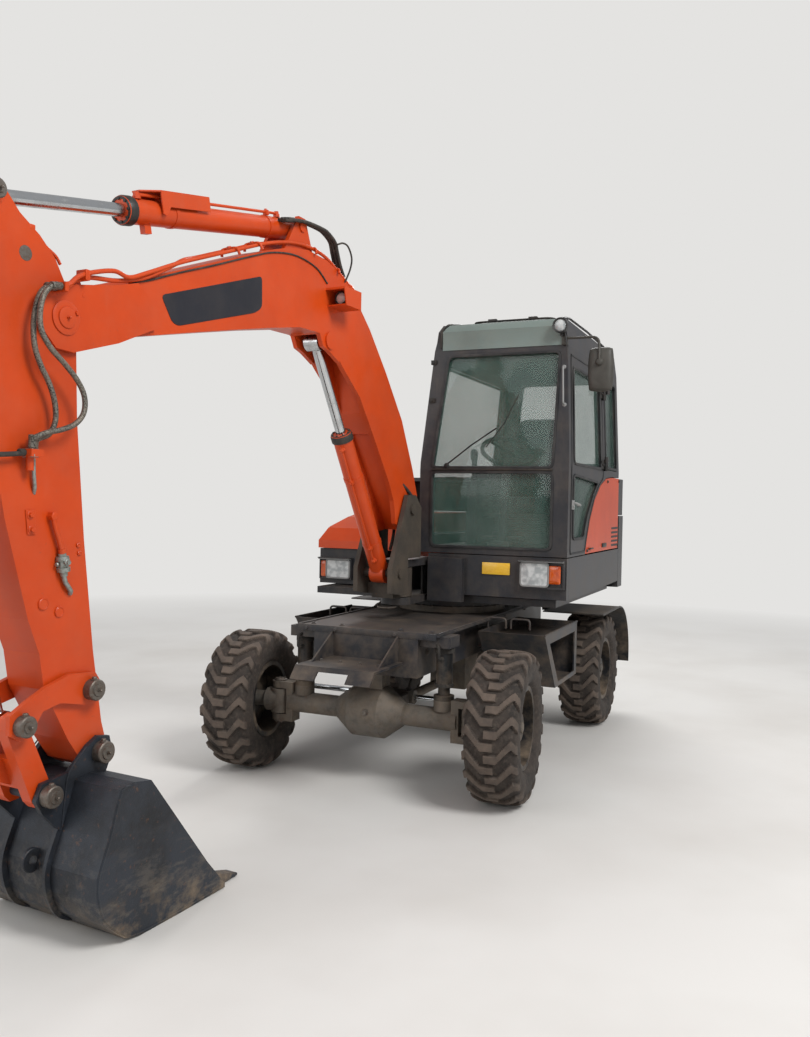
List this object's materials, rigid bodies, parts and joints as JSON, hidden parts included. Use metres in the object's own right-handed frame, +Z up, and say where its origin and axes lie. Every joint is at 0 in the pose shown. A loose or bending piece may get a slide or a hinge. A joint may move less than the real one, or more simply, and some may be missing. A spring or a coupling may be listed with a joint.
{
  "type": "wheeled excavator",
  "caption": "Small wheeled excavator with a glazed cab, swing boom, arm and bucket; wheels, steering, slewing, doors and digging gear all move.",
  "frame": {"origin": "on the ground, at the middle of the parked machine's outline", "axes": "+X forward along the chassis, +Y to the machine's left, +Z up"},
  "size_m": [5.7226, 2.2, 3.08],
  "materials": {
    "orange_paint": "gloss enamel",
    "charcoal_paint": "satin enamel",
    "black_paint": "satin enamel",
    "cast_steel": "raw, dusty",
    "worn_steel": "worn paint and bare steel",
    "rod_chrome": "polished",
    "tyre_rubber": "dusty",
    "window_glass": "tinted",
    "lamp_lens": "clear",
    "trim_plastic": "grained",
    "amber_lens": "clear",
    "red_lens": "clear",
    "hose_rubber": "braided, dusty",
    "seat_fabric": "woven"
  },
  "bodies": {
    "chassis": {"chassis_frame": "charcoal_paint", "chassis_deck": "charcoal_paint", "slew_ring": "cast_steel", "front_axle": "cast_steel", "rear_axle": "cast_steel", "axle_lock_cylinders": "black_paint", "driveline": "cast_steel", "side_steps": "charcoal_paint", "rear_fenders": "black_paint", "steering_barrel": "cast_steel"},
    "steering_rod": {"steering_rod": "rod_chrome"},
    "knuckle_left": {"knuckle_left": "cast_steel"},
    "knuckle_right": {"knuckle_right": "cast_steel"},
    "wheel_front_left": {"tyre_front_left": "tyre_rubber", "rim_front_left": "black_paint"},
    "wheel_front_right": {"tyre_front_right": "tyre_rubber", "rim_front_right": "black_paint"},
    "wheel_rear_left": {"tyre_rear_left": "tyre_rubber", "rim_rear_left": "black_paint"},
    "wheel_rear_right": {"tyre_rear_right": "tyre_rubber", "rim_rear_right": "black_paint"},
    "upper": {"upper_frame": "charcoal_paint", "counterweight": "charcoal_paint", "right_housing": "orange_paint", "housing_grille": "charcoal_paint", "left_cover": "orange_paint", "lower_body": "charcoal_paint", "engine": "cast_steel", "head_lamps": "lamp_lens", "turn_lamps": "amber_lens", "tail_lamps": "red_lens", "cab_floor": "charcoal_paint", "cab_frame": "charcoal_paint", "cab_glass": "window_glass", "cab_fittings": "trim_plastic", "seat": "seat_fabric", "controls": "trim_plastic"},
    "engine_hood": {"engine_hood": "charcoal_paint"},
    "cab_door": {"cab_door": "charcoal_paint", "door_glass": "window_glass"},
    "swing_bracket": {"swing_bracket": "cast_steel"},
    "swing_cylinder_barrel": {"swing_cylinder_barrel": "black_paint"},
    "swing_cylinder_rod": {"swing_cylinder_rod": "rod_chrome"},
    "boom": {"boom": "orange_paint", "boom_lamp": "orange_paint", "tip_hose_outer": "hose_rubber", "tip_hose_inner": "hose_rubber"},
    "boom_cylinder_barrel": {"boom_cylinder_barrel": "orange_paint"},
    "boom_cylinder_rod": {"boom_cylinder_rod": "rod_chrome"},
    "arm": {"arm": "orange_paint"},
    "arm_cylinder_barrel": {"arm_cylinder_barrel": "orange_paint", "cylinder_guard": "orange_paint"},
    "arm_cylinder_rod": {"arm_cylinder_rod": "rod_chrome"},
    "bucket_cylinder_barrel": {"bucket_cylinder_barrel": "orange_paint"},
    "bucket_cylinder_rod": {"bucket_cylinder_rod": "rod_chrome"},
    "rocker": {"rocker": "orange_paint"},
    "bucket": {"bucket": "worn_steel", "bucket_teeth": "worn_steel"},
    "bucket_link": {"bucket_link": "orange_paint"}
  },
  "joints": [
    {"name": "steering_left", "type": "hinge", "parent": "chassis", "child": "knuckle_left", "pos_m": [0.05863, 0.52, 0.415], "axis": [0, 0, 1], "range_deg": [-33, 23]},
    {"name": "steering_right", "type": "hinge", "parent": "chassis", "child": "knuckle_right", "pos_m": [0.05863, -0.72, 0.415], "axis": [0, 0, 1], "range_deg": [-33, 23]},
    {"name": "steering_rod_slide", "type": "slide", "parent": "chassis", "child": "steering_rod", "axis": [0, 1, 0], "range_m": [-0.088, 0.122]},
    {"name": "front_left_roll", "type": "hinge", "parent": "knuckle_left", "child": "wheel_front_left", "pos_m": [0.04233, 0.70629, 0.415], "axis": [-0.0872, 0.9962, 0], "continuous": true},
    {"name": "front_right_roll", "type": "hinge", "parent": "knuckle_right", "child": "wheel_front_right", "pos_m": [0.07493, -0.90629, 0.415], "axis": [-0.0872, 0.9962, 0], "continuous": true},
    {"name": "rear_left_roll", "type": "hinge", "parent": "chassis", "child": "wheel_rear_left", "pos_m": [-2.04137, 0.707, 0.415], "axis": [0, 1, 0], "continuous": true},
    {"name": "rear_right_roll", "type": "hinge", "parent": "chassis", "child": "wheel_rear_right", "pos_m": [-2.04137, -0.907, 0.415], "axis": [0, 1, 0], "continuous": true},
    {"name": "slewing", "type": "hinge", "parent": "chassis", "child": "upper", "pos_m": [-1.21137, -0.1, 0.945], "axis": [0, 0, 1], "continuous": true},
    {"name": "hood_opening", "type": "hinge", "parent": "upper", "child": "engine_hood", "pos_m": [-2.38137, -0.1, 1.85], "axis": [0, 1, 0], "range_deg": [0, 60]},
    {"name": "door_opening", "type": "hinge", "parent": "upper", "child": "cab_door", "pos_m": [-1.77137, 0.86, 2], "axis": [0, 0, 1], "range_deg": [0, 165]},
    {"name": "boom_swing", "type": "hinge", "parent": "upper", "child": "swing_bracket", "pos_m": [-0.48105, -0.19793, 1.13], "axis": [0, 0, 1], "range_deg": [-46, 84]},
    {"name": "swing_barrel_tilt", "type": "hinge", "parent": "upper", "child": "swing_cylinder_barrel", "pos_m": [-1.31137, -0.43, 1.13], "axis": [0, 0, 1], "range_deg": [-2, 2]},
    {"name": "swing_rod_stroke", "type": "slide", "parent": "swing_cylinder_barrel", "child": "swing_cylinder_rod", "axis": [0.9984, 0.0561, 0], "range_m": [-0.139, 0.245]},
    {"name": "boom_lift", "type": "hinge", "parent": "swing_bracket", "child": "boom", "pos_m": [-0.41122, -0.20281, 1.59], "axis": [-0.0698, -0.9976, 0], "range_deg": [-70, 40]},
    {"name": "boom_barrel_tilt", "type": "hinge", "parent": "swing_bracket", "child": "boom_cylinder_barrel", "pos_m": [-0.26159, -0.21328, 1.195], "axis": [-0.0698, -0.9976, 0], "range_deg": [-60, 34]},
    {"name": "boom_rod_stroke", "type": "slide", "parent": "boom_cylinder_barrel", "child": "boom_cylinder_rod", "axis": [0.5099, -0.0357, 0.8595], "range_m": [-0.444, 0.258]},
    {"name": "arm_crowd", "type": "hinge", "parent": "boom", "child": "arm", "pos_m": [2.30115, -0.39248, 2.275], "axis": [0.0698, 0.9976, 0], "range_deg": [-85, 26], "deforming": ["tip_hose_outer", "tip_hose_inner"]},
    {"name": "arm_barrel_tilt", "type": "hinge", "parent": "boom", "child": "arm_cylinder_barrel", "pos_m": [0.7659, -0.28513, 3.03], "axis": [0.0698, 0.9976, 0], "range_deg": [-1, 2]},
    {"name": "arm_rod_stroke", "type": "slide", "parent": "arm_cylinder_barrel", "child": "arm_cylinder_rod", "axis": [0.9767, -0.0683, -0.2033], "range_m": [-0.631, 0.2]},
    {"name": "bucket_curl", "type": "hinge", "parent": "arm", "child": "bucket", "pos_m": [2.11461, -0.37944, 0.655], "axis": [0.0698, 0.9976, 0], "range_deg": [-42, 88]},
    {"name": "rocker_swing", "type": "hinge", "parent": "arm", "child": "rocker", "pos_m": [2.16349, -0.38286, 0.902], "axis": [0.0698, 0.9976, 0], "range_deg": [-32, 66]},
    {"name": "bucket_link_swing", "type": "hinge", "parent": "bucket", "child": "bucket_link", "pos_m": [2.35702, -0.39639, 0.55], "axis": [0.0698, 0.9976, 0], "range_deg": [-66, 32]},
    {"name": "bucket_barrel_tilt", "type": "hinge", "parent": "arm", "child": "bucket_cylinder_barrel", "pos_m": [2.80592, -0.42778, 2.08], "axis": [0.0698, 0.9976, 0], "range_deg": [-2, 4]},
    {"name": "bucket_rod_stroke", "type": "slide", "parent": "bucket_cylinder_barrel", "child": "bucket_cylinder_rod", "axis": [-0.2567, 0.018, -0.9663], "range_m": [-0.17, 0.344]}
  ],
  "couplings": [
    {"joint": "steering_right", "follows": "steering_left", "ratio": 1},
    {"joint": "steering_rod_slide", "follows": "steering_left", "m_per_rad": -0.195},
    {"joint": "swing_barrel_tilt", "follows": "boom_swing", "ratio": -0.01},
    {"joint": "swing_rod_stroke", "follows": "boom_swing", "m_per_rad": 0.16043},
    {"joint": "boom_barrel_tilt", "follows": "boom_lift", "ratio": 0.84},
    {"joint": "boom_rod_stroke", "follows": "boom_lift", "m_per_rad": 0.35523},
    {"joint": "arm_barrel_tilt", "follows": "arm_crowd", "ratio": -0.01},
    {"joint": "arm_rod_stroke", "follows": "arm_crowd", "m_per_rad": 0.41826},
    {"joint": "rocker_swing", "follows": "bucket_curl", "ratio": 0.74},
    {"joint": "bucket_link_swing", "follows": "bucket_curl", "ratio": -0.74},
    {"joint": "bucket_barrel_tilt", "follows": "bucket_curl", "ratio": 0.03},
    {"joint": "bucket_rod_stroke", "follows": "bucket_curl", "m_per_rad": 0.21773}
  ]
}
